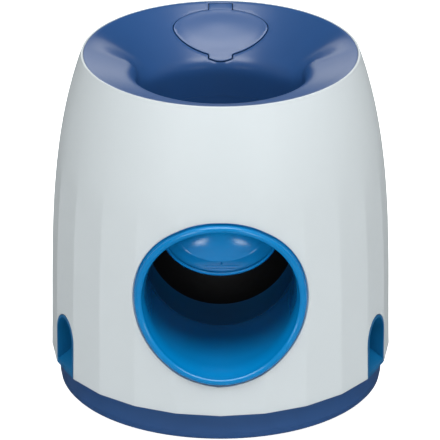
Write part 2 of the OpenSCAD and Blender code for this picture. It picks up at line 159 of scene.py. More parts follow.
WHITE = plastic("shell_white", srgb(203, 211, 214), rough=0.46, vary=0.015, bump=0.05, flow=14.0)
NAVY = plastic("navy_plastic", srgb(41, 80, 133), rough=0.29, vary=0.04, bump=0.006, flow=30.0, rough_vary=0.012, spec=0.56)
BLUE = plastic("blue_plastic", srgb(0, 124, 188), rough=0.22, vary=0.04, bump=0.006, flow=30.0, rough_vary=0.012,
               coat=0.3, coat_rough=0.13)
# Darker copy of the blue plastic for the tube's cradle: painted shade for the rear of the tube.
CRADLE_BLUE_SHADED = plastic("blue_rear_painted_shade", srgb(4, 84, 130), rough=0.3, vary=0.05, bump=0.01, flow=30.0, rough_vary=0.02)
# Darker copy of the blue plastic for the two chutes: painted shade inside the outlets.
CHUTE_BLUE_SHADED = plastic("blue_liner_painted_shade", srgb(8, 100, 152), rough=0.34, vary=0.05, bump=0.006, flow=30.0, rough_vary=0.012)
# Lighter, glossier copy of the blue plastic for the trigger flap: the coat and low roughness are real gloss, the
# lighter colour is painted light that brightens the flap inside the tube.
LIT_GLOSS_BLUE = plastic("blue_gloss_painted_light", srgb(16, 152, 228), rough=0.23, vary=0.03, bump=0.004, flow=30.0, rough_vary=0.012,
                coat=0.6, coat_rough=0.2)
# Near-black plastic. On the ball ramp deep inside and on the blocks under the hinge gaps it is painted shade, standing
# in for the dark there.
SHADE_BLACK = plastic("black_plastic", srgb(8, 8, 8), rough=0.6, vary=0.10, bump=0.05, flow=30.0, spec=0.15)
ACETAL = plastic("bush_plastic", srgb(228, 228, 222), rough=0.35, vary=0.03)
RUBBER = plastic("rubber", srgb(34, 34, 36), rough=0.72, vary=0.12, grain=1500.0, bump=0.22, spec=0.3)
STEEL = metal("steel", (0.58, 0.59, 0.61))
FINISH = {"shell_white": WHITE, "navy_plastic": NAVY, "blue_plastic": BLUE, "black_plastic": SHADE_BLACK,
          "bush_plastic": ACETAL, "steel": STEEL, "rubber": RUBBER}
SLOT = {p["node"]: p["material_slot"] for p in frame["record"]["subparts"]}
BODY = {}
for _body, _nodes in frame["record"]["behaviour"]["bodies"].items():
    for _n in _nodes:
        BODY[_n] = _body


# ---------------------------------------------------------------- mesh helpers
def mesh_object(name, verts, faces, sharp=32.0):
    """Object from points in millimetres, faces turned outwards, smooth up to a fold angle."""
    me = bpy.data.meshes.new(name)
    me.from_pydata([(x * MM, y * MM, z * MM) for x, y, z in verts], [], faces)
    bm = bmesh.new()
    bm.from_mesh(me)
    bmesh.ops.remove_doubles(bm, verts=bm.verts, dist=2e-6)
    bmesh.ops.dissolve_degenerate(bm, edges=bm.edges, dist=1e-7)
    bmesh.ops.recalc_face_normals(bm, faces=bm.faces)
    bm.to_mesh(me)
    bm.free()
    ob = bpy.data.objects.new(name, me)
    scene.collection.objects.link(ob)
    shade(ob, sharp)
    return ob


def shade(ob, sharp=32.0):
    me = ob.data
    me.polygons.foreach_set("use_smooth", [True] * len(me.polygons))
    me.set_sharp_from_angle(angle=rad(sharp))
    me.update()


def boolean(a, b, op):
    """Applies b to a and removes b."""
    md = a.modifiers.new("cut", "BOOLEAN")
    md.operation = op
    md.solver = "EXACT"
    md.object = b
    dg = bpy.context.evaluated_depsgraph_get()
    me = bpy.data.meshes.new_from_object(a.evaluated_get(dg))
    a.modifiers.clear()
    a.data = me
    bpy.data.objects.remove(b, do_unlink=True)
    return a


def settle(ob, node, mat=None):
    """Lets a piece stand for its node, with that node's body, slot and finish."""
    ob.data.materials.clear()
    ob.data.materials.append(mat or FINISH[SLOT[node]])
    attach(ob, BODY[node])
    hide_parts(node)
    return ob


def lathe(profile, segs, place, closed=True):
    """Turns (r, h) points; place maps (r, angle, h) to a point. Points at r 0 become poles."""
    verts, rings = [], []
    for r, h in profile:
        if r < 1e-6:
            rings.append([len(verts)])
            verts.append(place(0.0, 0.0, h))
        else:
            rings.append(list(range(len(verts), len(verts) + segs)))
            verts += [place(r, 2 * math.pi * k / segs, h) for k in range(segs)]
    faces = []
    m = len(rings)
    for j in range(m if closed else m - 1):
        a, b = rings[j], rings[(j + 1) % m]
        if len(a) == 1 and len(b) == 1:
            continue
        for k in range(segs):
            k2 = (k + 1) % segs
            if len(a) == 1:
                faces.append((a[0], b[k2], b[k]))
            elif len(b) == 1:
                faces.append((a[k], a[k2], b[0]))
            else:
                faces.append((a[k], a[k2], b[k2], b[k]))
    return verts, faces


def arc(cx, cy, r, a0, a1, n):
    return [(cx + r * math.cos(rad(a0 + (a1 - a0) * i / n)), cy + r * math.sin(rad(a0 + (a1 - a0) * i / n)))
            for i in range(n + 1)]


def bezier(p0, p1, p2, p3, n):
    out = []
    for i in range(n + 1):
        t = i / n
        k = ((1 - t) ** 3, 3 * t * (1 - t) ** 2, 3 * t * t * (1 - t), t ** 3)
        out.append(tuple(sum(w * p[c] for w, p in zip(k, (p0, p1, p2, p3))) for c in (0, 1)))
    return out


def inside_poly(p, poly):
    x, y = p
    hit = False
    j = len(poly) - 1
    for i in range(len(poly)):
        xi, yi = poly[i]
        xj, yj = poly[j]
        if (yi > y) != (yj > y) and x < (xj - xi) * (y - yi) / (yj - yi) + xi:
            hit = not hit
        j = i
    return hit


def poly_dist(p, poly):
    best = 1e9
    px, py = p
    for i in range(len(poly)):
        ax, ay = poly[i - 1]
        bx, by = poly[i]
        dx, dy = bx - ax, by - ay
        d2 = dx * dx + dy * dy
        t = 0.0 if d2 == 0 else max(0.0, min(1.0, ((px - ax) * dx + (py - ay) * dy) / d2))
        best = min(best, math.hypot(px - ax - t * dx, py - ay - t * dy))
    return best


def poly_normals(poly):
    """Outward mitre vectors of a closed polygon, so that p + g * v lies g outside both edges."""
    area = sum(poly[i - 1][0] * poly[i][1] - poly[i][0] * poly[i - 1][1] for i in range(len(poly)))
    s = 1.0 if area > 0 else -1.0
    out = []
    n = len(poly)
    for i in range(n):
        a, b, c = poly[i - 1], poly[i], poly[(i + 1) % n]
        e1 = Vector((b[0] - a[0], b[1] - a[1])).normalized()
        e2 = Vector((c[0] - b[0], c[1] - b[1])).normalized()
        n1 = Vector((e1.y, -e1.x)) * s
        n2 = Vector((e2.y, -e2.x)) * s
        v = n1 + n2
        if v.length < 1e-6:
            v = n1
        v.normalize()
        v /= max(0.35, v.dot(n1))
        out.append((v.x, v.y))
    return out


def offset_poly(poly, g):
    return [(p[0] + g * v[0], p[1] + g * v[1]) for p, v in zip(poly, poly_normals(poly))]


def cdt(points, edges, drop):
    """Triangles over the points' hull that keep the edges, without those whose centre is dropped."""
    vs, _, fs, ov, _, _ = delaunay_2d_cdt([Vector(p) for p in points], edges, [], 0, 1e-7)
    idx = []
    for i, o in enumerate(ov):
        if not o:
            raise RuntimeError("an edge of an opening crosses another")
        idx.append(min(o))
    out = []
    for f in fs:
        c = sum((vs[i] for i in f), Vector((0.0, 0.0))) / len(f)
        if not drop((c.x, c.y)):
            out.append(tuple(idx[i] for i in f))
    return out


def strip(faces, a, b, closed=True):
    """Quads between two equal rows of point numbers."""
    n = len(a)
    for i in range(n if closed else n - 1):
        k = (i + 1) % n
        q = (a[i], a[k], b[k], b[i])
        if len(set(q)) == 4:
            faces.append(q)
        elif len(set(q)) == 3:
            faces.append(tuple(dict.fromkeys(q)))


# ---------------------------------------------------------------- outer shell
SHELL_Z, TOP_Z, SHELL_R, DRAW, WALL = 16.5, 175.0, 85.0, 15.5, 2.6
LIP_R = 68.05
TUBE_Z, TUBE_R, COLLAR_R = 75.5, 37.0, 43.3


def shell_rad(z):
    t = max(0.0, z - SHELL_Z)
    return SHELL_R - 0.4 * (1 - math.exp(-t / 15)) - DRAW * (t / (TOP_Z - SHELL_Z)) ** 3.55


def fade(z):
    t = min(1.0, max(0.0, (z - 106.0) / 24.0))
    return t * t * (3 - 2 * t)


def soft_min(a, b, k):
    h = min(1.0, max(0.0, 0.5 + 0.5 * (b - a) / k))
    return b + (a - b) * h - k * h * (1 - h)


def shell_r(th, z):
    """Radius of the shell at an angle in degrees from the front: flat facets that fade out upwards."""
    R, f = shell_rad(z), fade(z)
    t = (th % 15.0) - 7.5
    flat = soft_min(R * math.cos(rad(7.5)) / math.cos(rad(t)), R - 0.07, 0.10)
    return flat * (1 - f) + (R - 0.05) * f


def shell_p(th, z, inset=0.0):
    r = shell_r(th, z) - inset
    return Vector((r * math.sin(rad(th)), -r * math.cos(rad(th)), z))


def shell_n(th, z):
    e = 0.05
    a = shell_p(th + e, z) - shell_p(th - e, z)
    b = shell_p(th, z + e) - shell_p(th, z - e)
    return a.cross(b).normalized()


def facet_y(x, z):
    """Front surface of the shell at x, z."""
    th = 0.0
    for _ in range(8):
        th = math.degrees(math.asin(max(-1.0, min(1.0, x / shell_r(th, z)))))
    return -shell_r(th, z) * math.cos(rad(th))


def build_shell():
    per = 1.475                      # millimetres of arc for a degree
    R = 0.45                         # rounding of the free edges
    HR = 0.3                         # rounding of the front hole's edge
    steps = (-7.5, -7.25, -7.0, -6.7, -6.2, -4.2, -1.4, 1.4, 4.2, 6.2, 6.7, 7.0, 7.25)
    ths = [-180.0 + 15.0 * k + 7.5 + s for k in range(24) for s in steps]
    zs = [SHELL_Z + R] + [20.0 + 4.0 * k for k in range(22)] + [107.5 + 3.0 * k for k in range(14)] \
        + [149.0 + 2.4 * k for k in range(10)] + [172.8, TOP_Z - 0.42]
    nc, nr = len(ths), len(zs)
    dom = [(th, z) for z in zs for th in ths]

    def gid(i, j):
        return j * nc + i % nc

    # windows: the front hole and the two arches
    hole_r = COLLAR_R + HR
    hole = []
    for k in range(120):
        a = 2 * math.pi * k / 120
        x, z = hole_r * math.sin(a), TUBE_Z + hole_r * math.cos(a)
        th = 0.0
        for _ in range(8):
            th = math.degrees(math.asin(x / shell_r(th, z)))
        hole.append((th, z))
    aw, az = 10.95 + R, 35.5

    def arch_path(side):
        pts = [(aw, SHELL_Z + R), (aw, 20.0), (aw, 24.0), (aw, 28.0), (aw, 32.0)]
        pts += [(aw * math.cos(rad(a)), az + aw * math.sin(rad(a))) for a in range(0, 181, 6)]
        pts += [(-aw, 32.0), (-aw, 28.0), (-aw, 24.0), (-aw, 20.0), (-aw, SHELL_Z + R)]
        out = []
        for q, z in pts:
            ph = 0.0
            for _ in range(8):
                ph = math.degrees(math.asin(q / shell_r(67.5 + ph, z)))
            # inward direction in the sheet: (sideways, up)
            if z <= az + 1e-6 and abs(abs(q) - aw) < 1e-6:
                d = (-1.0 if q > 0 else 1.0, -1.0 if z < SHELL_Z + R + 1e-6 else 0.0)
            else:
                d = (-q / aw, -(z - az) / aw)
            out.append((side * (67.5 + ph), z, (side * d[0], d[1])))
        return out

    faces = []
    windows = []

    def window(th0, th1, z0, z1):
        i0 = min(range(nc), key=lambda i: abs(ths[i] - th0))
        i1 = min(range(nc), key=lambda i: abs(ths[i] - th1))
        j0 = min(range(nr), key=lambda j: abs(zs[j] - z0))
        j1 = min(range(nr), key=lambda j: abs(zs[j] - z1))
        windows.append((i0, i1, j0, j1))
        return i0, i1, j0, j1

    # front hole
    i0, i1, j0, j1 = window(-37.5, 37.5, 28.0, 122.5)
    ids, pts = [], []
    for j in range(j0, j1 + 1):
        for i in range(i0, i1 + 1):
            th, z = dom[gid(i, j)]
            p = shell_p(th, z)
            if math.hypot(p.x, p.z - TUBE_Z) > hole_r + 0.9:
                ids.append(gid(i, j))
                pts.append((th * per, z))
    hole_ids = list(range(len(dom), len(dom) + len(hole)))
    dom += hole
    edges = [(len(pts) + k, len(pts) + (k + 1) % len(hole)) for k in range(len(hole))]
    ids += hole_ids
    pts += [(th * per, z) for th, z in hole]
    loop2 = [(th * per, z) for th, z in hole]
    faces += [tuple(ids[i] for i in f) for f in cdt(pts, edges, lambda c: inside_poly(c, loop2))]

    # side arches
    paths = {}
    for side in (-1, 1):
        path = arch_path(side)
        a0, a1 = sorted((side * 52.5, side * 82.5))
        i0, i1, j0, j1 = window(a0, a1, SHELL_Z + R, 52.0)
        poly = [(t * per, z) for t, z, _ in path]
        closed = [(poly[0][0], SHELL_Z - 5)] + poly + [(poly[-1][0], SHELL_Z - 5)]
        ids, pts = [], []
        for j in range(j0, j1 + 1):
            for i in range(i0, i1 + 1):
                th, z = dom[gid(i, j)]
                p = (th * per, z)
                edge = i in (i0, i1) or j == j1
                if edge or (not inside_poly(p, closed) and poly_dist(p, poly[:1] + poly) > (0.30 if j == 0 else 0.75)
                            and not (closed[0][0] == p[0])):
                    ids.append(gid(i, j))
                    pts.append(p)
        pid = list(range(len(dom), len(dom) + len(path)))
        dom += [(t, z) for t, z, _ in path]
        edges = [(len(pts) + k, len(pts) + k + 1) for k in range(len(path) - 1)]
        ids += pid
        pts += poly
        faces += [tuple(ids[i] for i in f) for f in cdt(pts, edges, lambda c: inside_poly(c, closed))]
        paths[side] = (pid, path, set(ids))

    for j in range(nr - 1):
        for i in range(nc):
            if not any(i0 <= i < i1 and j0 <= j < j1 for i0, i1, j0, j1 in windows):
                faces.append((gid(i, j), gid(i + 1, j), gid(i + 1, j + 1), gid(i, j + 1)))

    # bottom edge with the arches' edges in it, in order of the angle
    bottom = []
    for i in range(nc):
        th = ths[i]
        for side in (-1, 1):
            pid, path, kept = paths[side]
            lo = min(path[0][0], path[-1][0])
            hi = max(path[0][0], path[-1][0])
            if i > 0 and ths[i - 1] < lo <= th:
                seq = list(zip(pid, path))
                if path[0][0] > path[-1][0]:
                    seq.reverse()
                for k, (t, z, d) in seq:
                    bottom.append((k, d, side * 67.5))
        inside = False
        for side in (-1, 1):
            pid, path, kept = paths[side]
            if abs(th - side * 67.5) < 15.0 and gid(i, 0) not in kept and abs(th - side * 67.5) < 14.9:
                inside = True
        if not inside:
            bottom.append((gid(i, 0), (0.0, -1.0), th))

    verts = [shell_p(th, z) for th, z in dom]
    norms = [shell_n(th, z) for th, z in dom]
    n_out = len(verts)

    def sideways(th):
        return Vector((math.cos(rad(th)), math.sin(rad(th)), 0.0))

    # inner face: same net, one wall further in
    inner = [v - n * WALL for v, n in zip(verts, norms)]
    for k, d, th in bottom:
        inner[k] = verts[k] + (sideways(th) * d[0] + Vector((0, 0, d[1]))) * R - norms[k] * WALL
    for i in range(nc):
        k = gid(i, nr - 1)
        th = ths[i]
        inner[k] = Vector((68.9 * math.sin(rad(th)), -68.9 * math.cos(rad(th)), 168.5))
        k = gid(i, nr - 2)
        r = min(shell_r(th, 166.0) - WALL, 69.4)
        inner[k] = Vector((r * math.sin(rad(th)), -r * math.cos(rad(th)), 166.0))
        for j in range(nr - 8, nr - 2):
            k = gid(i, j)
            z = inner[gid(i, nr - 9)].z + (166.0 - inner[gid(i, nr - 9)].z) * (j - (nr - 9)) / 7.0
            inner[k] = shell_p(th, z, WALL)
    verts += inner
    faces += [tuple(n_out + i for i in reversed(f)) for f in list(faces)]

    # rounded bottom edge
    last = [k for k, _, _ in bottom]
    for a in (22.5, 45.0, 67.5, 90.0):
        row = []
        for k, d, th in bottom:
            row.append(len(verts))
            v = sideways(th) * d[0] + Vector((0, 0, d[1]))
            verts.append(verts[k] + v * (R * math.sin(rad(a))) - norms[k] * (R * (1 - math.cos(rad(a)))))
        strip(faces, last, row)
        last = row
    strip(faces, last, [n_out + k for k, _, _ in bottom])
    # hole wall
    def towards_axis(k):
        v = verts[k]
        d = Vector((-v.x, 0.0, TUBE_Z - v.z)).normalized()
        d -= norms[k] * d.dot(norms[k])
        return d.normalized()

    last = hole_ids
    for a in (30.0, 60.0, 90.0):
        row = []
        for k in hole_ids:
            row.append(len(verts))
            verts.append(verts[k] + towards_axis(k) * (HR * math.sin(rad(a))) - norms[k] * (HR * (1 - math.cos(rad(a)))))
        strip(faces, last, row)
        last = row
    for k in hole_ids:
        verts[n_out + k] = verts[k] + towards_axis(k) * HR - norms[k] * WALL
    strip(faces, last, [n_out + k for k in hole_ids])
    # top lip and the ledge that carries the funnel
    top = [gid(i, nr - 1) for i in range(nc)]
    last = top
    rings = []
    for a in (30.0, 60.0, 90.0):
        rings.append(lambda th, a=a: (shell_r(th, TOP_Z - 0.42) - 0.42 * (1 - math.cos(rad(a))),
                                      TOP_Z - 0.42 + 0.42 * math.sin(rad(a))))
    for a in (0.0, 45.0, 90.0):
        rings.append(lambda th, a=a: (LIP_R + 0.3 * (1 - math.sin(rad(a))),
                                      TOP_Z - 0.3 * (1 - math.cos(rad(a)))))

    def notch(th):
        """1 behind the lid's hinge, 0 elsewhere."""
        x = abs(68.0 * math.sin(rad(th)))
        if math.cos(rad(th)) > 0 or x > 14.0:
            return 0.0
        return min(1.0, max(0.0, (14.0 - x) / 2.0))

    def cut_r(th):
        return min(68.85 / abs(math.cos(rad(th))), shell_rad(172.3) - 0.3)

    rings.append(lambda th: (LIP_R, 174.2))
    rings.append(lambda th: (LIP_R + (cut_r(th) - LIP_R) * notch(th), 173.3))
    rings.append(lambda th: (LIP_R + (cut_r(th) - LIP_R) * notch(th), 172.1))
    rings.append(lambda th: (66.6 + (cut_r(th) - 66.6) * notch(th), 172.1 - 1.2 * notch(th)))
    for fn in rings:
        row = []
        for th in ths:
            r, z = fn(th)
            row.append(len(verts))
            verts.append(Vector((r * math.sin(rad(th)), -r * math.cos(rad(th)), z)))
        strip(faces, last, row)
        last = row
    strip(faces, last, [n_out + k for k in top])
    return mesh_object("outer_shell_skin", verts, faces, 40.0)


# ---------------------------------------------------------------- funnel and lid
RIM_R, THROAT_R, REAR_Y, PIN_S = 67.8, 41.9, 7.0, 2.4
SLOPE = math.atan2(19.9, 21.3)
CB, SB = math.cos(SLOPE), math.sin(SLOPE)


class Profile:
    """Curve of (radius, height) points, measured along its length from the rim."""

    def __init__(self, pts):
        self.p = pts
        self.s = [0.0]
        for a, b in zip(pts, pts[1:]):
            self.s.append(self.s[-1] + math.hypot(b[0] - a[0], b[1] - a[1]))
        self.length = self.s[-1]

    def at(self, v):
        v = max(0.0, min(self.length, v))
        lo, hi = 0, len(self.s) - 1
        while hi - lo > 1:
            m = (lo + hi) // 2
            if self.s[m] <= v:
                lo = m
            else:
                hi = m
        t = (v - self.s[lo]) / (self.s[hi] - self.s[lo])
        a, b = self.p[lo], self.p[hi]
        return a[0] + (b[0] - a[0]) * t, a[1] + (b[1] - a[1]) * t

    def normal(self, v):
        """Towards the axis and upwards."""
        e = 0.35
        a, b = self.at(v - e), self.at(v + e)
        tr, tz = b[0] - a[0], b[1] - a[1]
        k = math.hypot(tr, tz)
        return tz / k, -tr / k


REAR = Profile([(67.9, 174.65), (67.87, 174.94), (67.72, 174.92)]
               + [(67.72 + (46.0 - 67.72) * i / 14, 174.92 + (154.64 - 174.92) * i / 14) for i in range(1, 14)]
               + bezier((46.0, 154.64), (43.0, 151.83), (41.9, 150.0), (41.9, 144.0), 18))
SIDE = Profile([(67.9, 174.45), (67.87, 174.69), (67.7, 174.67)]
               + [(67.7 + (48.66 - 67.7) * i / 12, 174.67 + (168.14 - 174.67) * i / 12) for i in range(1, 12)]
               + [(41.9 + 10.0 * (1 - math.sin(rad(18.9 + 71.1 * i / 16))), 158.68 + 10.0 * math.cos(rad(18.9 + 71.1 * i / 16)))
                  for i in range(17)]
               + [(41.9, 155.0), (41.9, 151.5), (41.9, 148.0), (41.9, 144.0)])


def edge_psi(r):
    """Angle from the rear at which the plane between the rear and the sides cuts a circle."""
    return math.degrees(math.acos(REAR_Y / r))


def slope_xs(x, s, prof=REAR):
    """Length along the rear profile of the point x across and s down the slope."""
    lo, hi = 0.0, prof.length
    for _ in range(46):
        m = 0.5 * (lo + hi)
        r, z = prof.at(m)
        y = math.sqrt(max(0.0, r * r - x * x))
        if -((y - RIM_R) * CB + (z - TOP_Z) * SB) < s:
            lo = m
        else:
            hi = m
    return 0.5 * (lo + hi)


def on_rear(x, s, h=0.0):
    """Point of the rear surface, h above it, and the surface's normal."""
    v = slope_xs(x, s)
    r, z = REAR.at(v)
    nr_, nz_ = REAR.normal(v)
    ps = math.asin(max(-1.0, min(1.0, x / r)))
    n = Vector((nr_ * math.sin(ps), nr_ * math.cos(ps), nz_))
    return Vector((r * math.sin(ps), r * math.cos(ps), z)) + n * h, n


DOWN = Vector((0.0, -CB, -SB))        # down the rear slope
OUT = Vector((0.0, -SB, CB))          # out of the rear slope


def lid_outline():
    """Edge of the lid as (across, down the slope), anticlockwise seen with 'down' as the second axis."""
    a, c = 23.7, 16.2
    pts = []
    for i in range(49):                                   # towards the rim
        t = math.pi * i / 48
        x = math.copysign(abs(math.cos(t)) ** (2 / 1.8), math.cos(t)) * a
        s = c - 11.8 * abs(math.sin(t)) ** (2 / 1.8)
        pts.append((x, s))
    low = []
    for i in range(1, 60):
        t = math.pi * i / 120
        x = -abs(math.cos(t)) ** (2 / 1.7) * a
        s = c + 14.0 * abs(math.sin(t)) ** (2 / 1.7)
        if x < -6.6:
            low.append((x, s))
    low = low[::2]
    j = c + 14.0 * (1 - (5.8 / a) ** 1.7) ** (1 / 1.7)
    tab = [(-6.25, j - 0.05), (-5.95, j + 0.12), (-5.8, j + 0.45), (-5.8, 30.6), (-5.8, 31.45)]
    tab += [(-5.2 + 0.6 * math.cos(rad(t)), 31.45 + 0.6 * math.sin(rad(t))) for t in (160, 135, 112)]
    tab += [(-4.6, 32.26), (-3.8, 32.56), (-2.9, 32.83), (-1.9, 33.04), (-0.95, 33.16), (0.0, 33.2)]
    left = low + tab
    right = [(-x, s) for x, s in reversed(left[:-1])]
    return pts + left + right


LID = lid_outline()


def build_funnel():
    R = 0.25
    th = 2.2
    # edge of the opening: lid outline with its gap, and the slot of the hinge strap
    hole = []
    # the gap is close round the hinge side and opens towards the finger tab
    big = [(x + nx * g, s + ns * g) for (x, s), (nx, ns) in zip(LID, poly_normals(LID))
           for g in (0.09 + 0.31 * max(0.0, min(1.0, (s - 12.0) / 6.0)),)]
    slot_w, slot_s = 6.15, 1.05
    edge_s = None
    done = False
    for x, s in big:
        if s < 16.0 and abs(x) < slot_w + 0.35:
            if not done:
                edge_s = min(q[1] for q in big) + 0.25
                hole += [(slot_w, edge_s), (slot_w, 3.0), (slot_w, slot_s + 0.5), (slot_w - 0.15, slot_s + 0.15),
                         (slot_w - 0.5, slot_s), (3.0, slot_s), (0.0, slot_s), (-3.0, slot_s),
                         (-slot_w + 0.5, slot_s), (-slot_w + 0.15, slot_s + 0.15), (-slot_w, slot_s + 0.5),
                         (-slot_w, 3.0), (-slot_w, edge_s)]
                done = True
            continue
        hole.append((x, s))
    dirs = poly_normals(hole)
    soft = [0.08 if q[1] < 2.3 else 0.12 + (R - 0.12) * max(0.0, min(1.0, (q[1] - 11.0) / 4.0)) for q in hole]      # rounding, close at the end of the strap's slot
    wide = [(q[0] + g * d[0], q[1] + g * d[1]) for q, d, g in zip(hole, dirs, soft)]

    n1 = 34                                               # rows from the rim to the throat
    cols_b = [-1.0 + 2.0 * i / 66 for i in range(67)]         # share of the edge angle
    vb = [REAR.length * (i / (n1 - 1)) for i in range(n1)]
    vb[:3] = REAR.s[:3]
    for i in range(3, n1):
        vb[i] = REAR.s[2] + (REAR.length - REAR.s[2]) * (i - 2) / (n1 - 3)
    va = SIDE.s[:3] + [SIDE.s[2] + (SIDE.length - SIDE.s[2]) * (i - 2) / (n1 - 3) for i in range(3, n1)]

    verts, under, faces = [], [], []

    def low_point(prof, v, limit):
        r, z = prof.at(v)
        nr_, nz_ = prof.normal(max(v, prof.s[2] + 0.4))
        rb, zb = r - nr_ * th, z - nz_ * th
        if r > limit:
            k = (r - limit) / (RIM_R - limit)
            re, ze = limit - nr_ * th, prof.at(prof.s[2] + 0.0)[1] - 0.0
            # level with the ledge at the rim
            v0 = v
            lo, hi = 0.0, prof.length
            for _ in range(40):
                m = 0.5 * (lo + hi)
                if prof.at(m)[0] > limit:
                    lo = m
                else:
                    hi = m
            ze = prof.at(lo)[1] - prof.normal(lo)[1] * th
            rb = min(re + (RIM_R - re) * k, 67.9)
            zb = ze + (172.2 - ze) * k
        return rb, zb

    def add(prof, v, psi, limit, drop=0.0):
        r, z = prof.at(v)
        if drop:
            nr_, nz_ = prof.normal(v)
            r, z = r - nr_ * drop, z - nz_ * drop
        rb, zb = low_point(prof, v, limit)
        s, c = math.sin(rad(psi)), math.cos(rad(psi))
        verts.append(Vector((r * s, r * c, z)))
        if prof is REAR and abs(r * s) < 6.4 and r * c > 66.2:
            rb, zb = min(r, 67.85), z - 0.2              # thin bridge over the hinge knuckle
        under.append(Vector((rb * s, rb * c, zb)))
        return len(verts) - 1

    def mixed(j, share):
        """Rear surface at a share of the edge angle; it runs out into the side surface."""
        rr, zr = REAR.at(vb[j])
        back = rr * math.cos(rad(share * edge_psi(rr))) - REAR_Y
        t = max(0.0, min(1.0, back / 25.0))
        w = (1 - t) ** 2 * (1 + 1.5 * t)
        rs, zs = SIDE.at(va[j])
        r, z = rr + (rs - rr) * w, zr + (zs - zr) * w
        return w, r, z, share * edge_psi(r)

    def add_mixed(j, share):
        w, r, z, psi = mixed(j, share)
        if w == 0.0:
            return add(REAR, vb[j], psi, 65.3)
        a, b = low_point(REAR, vb[j], 65.3), low_point(SIDE, va[j], 65.8)
        rb, zb = a[0] + (b[0] - a[0]) * w, a[1] + (b[1] - a[1]) * w
        si, co = math.sin(rad(psi)), math.cos(rad(psi))
        verts.append(Vector((r * si, r * co, z)))
        under.append(Vector((rb * si, rb * co, zb)))
        return len(verts) - 1

    # rear patch with the opening
    per = 81.0                                            # to about a millimetre of arc
    dom, ids = [], []
    grid_b = {}
    for j in range(n1):
        for i, share in enumerate(cols_b):
            _, r, z, psi = mixed(j, share)
            x, y = r * math.sin(rad(psi)), r * math.cos(rad(psi))
            s = -((y - RIM_R) * CB + (z - TOP_Z) * SB)
            edge = j in (0, n1 - 1) or i in (0, len(cols_b) - 1)
            if not edge and abs(x) < 28 and y > 0:
                p = (x, s)
                if inside_poly(p, wide) or poly_dist(p, wide) < 0.55:
                    continue
            grid_b[(i, j)] = add_mixed(j, share)
            dom.append((share * per, vb[j]))
            ids.append(grid_b[(i, j)])
    loop, loop_dom = [], []
    for x, s in wide:
        v = slope_xs(x, s)
        r, z = REAR.at(v)
        psi = math.degrees(math.asin(x / r))
        loop.append(add(REAR, v, psi, 65.3))
        loop_dom.append((psi / edge_psi(r) * per, v))
    base = len(dom)
    edges = [(base + k, base + (k + 1) % len(loop)) for k in range(len(loop))]
    ids += loop
    dom += loop_dom
    faces_b = [tuple(ids[i] for i in f) for f in cdt(dom, edges, lambda c: inside_poly(c, loop_dom))]

    # shallow front and sides, from crease to crease
    n_side = 85
    grid_a = {}
    for j in range(n1):
        pe = edge_psi(SIDE.at(va[j])[0])
        for i in range(n_side):
            if i == 0:
                grid_a[(i, j)] = grid_b[(len(cols_b) - 1, j)]
            elif i == n_side - 1:
                grid_a[(i, j)] = grid_b[(0, j)]
            else:
                grid_a[(i, j)] = add(SIDE, va[j], pe + (360 - 2 * pe) * i / (n_side - 1), 65.8)
    faces_a = []
    for j in range(n1 - 1):
        for i in range(n_side - 1):
            faces_a.append((grid_a[(i, j)], grid_a[(i + 1, j)], grid_a[(i + 1, j + 1)], grid_a[(i, j + 1)]))

    # skirt below the throat, shared by both parts
    ring = [grid_b[(i, n1 - 1)] for i in range(len(cols_b))] + [grid_a[(i, n1 - 1)] for i in range(1, n_side - 1)]
    rim = [grid_b[(i, 0)] for i in range(len(cols_b))] + [grid_a[(i, 0)] for i in range(1, n_side - 1)]
    top_faces = faces_b + faces_a
    n = len(verts)
    allv = verts + under
    faces = list(top_faces) + [tuple(n + i for i in reversed(f)) for f in top_faces]
    strip(faces, rim, [n + i for i in rim])

    def drop_ring(src, r, z):
        row = []
        for k in src:
            a = math.atan2(allv[k].x, allv[k].y)
            row.append(len(allv))
            allv.append(Vector((r * math.sin(a), r * math.cos(a), z)))
        return row

    last = ring
    for r, z in ((THROAT_R, 140.0), (THROAT_R, 134.12), (THROAT_R + 0.08, 134.04), (THROAT_R + 0.75, 134.04),
                 (THROAT_R + 1.0, 134.35), (THROAT_R + 1.0, 138.0), (THROAT_R + 2.1, 138.0), (THROAT_R + 2.1, 140.5)):
        row = drop_ring(ring, r, z)
        strip(faces, last, row)
        last = row
    strip(faces, last, [n + i for i in ring])

    # rounded edge of the opening
    last = loop
    for a in (45.0, 90.0):
        row = []
        for k, (x, s), d, g in zip(loop, wide, dirs, soft):
            _, nv = on_rear(x, s)
            inward = Vector((-d[0], 0, 0)) + DOWN * (-d[1])
            row.append(len(allv))
            allv.append(allv[k] + inward * (g * math.sin(rad(a))) - nv * (g * (1 - math.cos(rad(a)))))
        strip(faces, last, row)
        last = row
    for k, (x, s), d, g in zip(loop, wide, dirs, soft):
        _, nv = on_rear(x, s)
        inward = Vector((-d[0], 0, 0)) + DOWN * (-d[1])
        allv[n + k] = allv[k] + inward * g - nv * (th if s > 2.2 else 0.26)
    strip(faces, last, [n + k for k in loop])
    ob = mesh_object("funnel_skin", allv, faces, 38.0)
    return ob


def rounded_box(lo, hi, r, place):
    """Box with rounded edges as a closed net; place maps a local point."""
    bm = bmesh.new()
    bmesh.ops.create_cube(bm, size=1.0)
    for v in bm.verts:
        v.co = Vector([lo[c] if v.co[c] < 0 else hi[c] for c in range(3)])
    bmesh.ops.bevel(bm, geom=list(bm.edges), offset=r, segments=3, profile=0.5, affect="EDGES")
    verts = [place(v.co) for v in bm.verts]
    bm.verts.index_update()
    faces = [tuple(v.index for v in f.verts) for f in bm.faces]
    bm.free()
    return verts, faces


def slope_point(x, s, h):
    return Vector((x, RIM_R, TOP_Z)) + DOWN * s + OUT * h


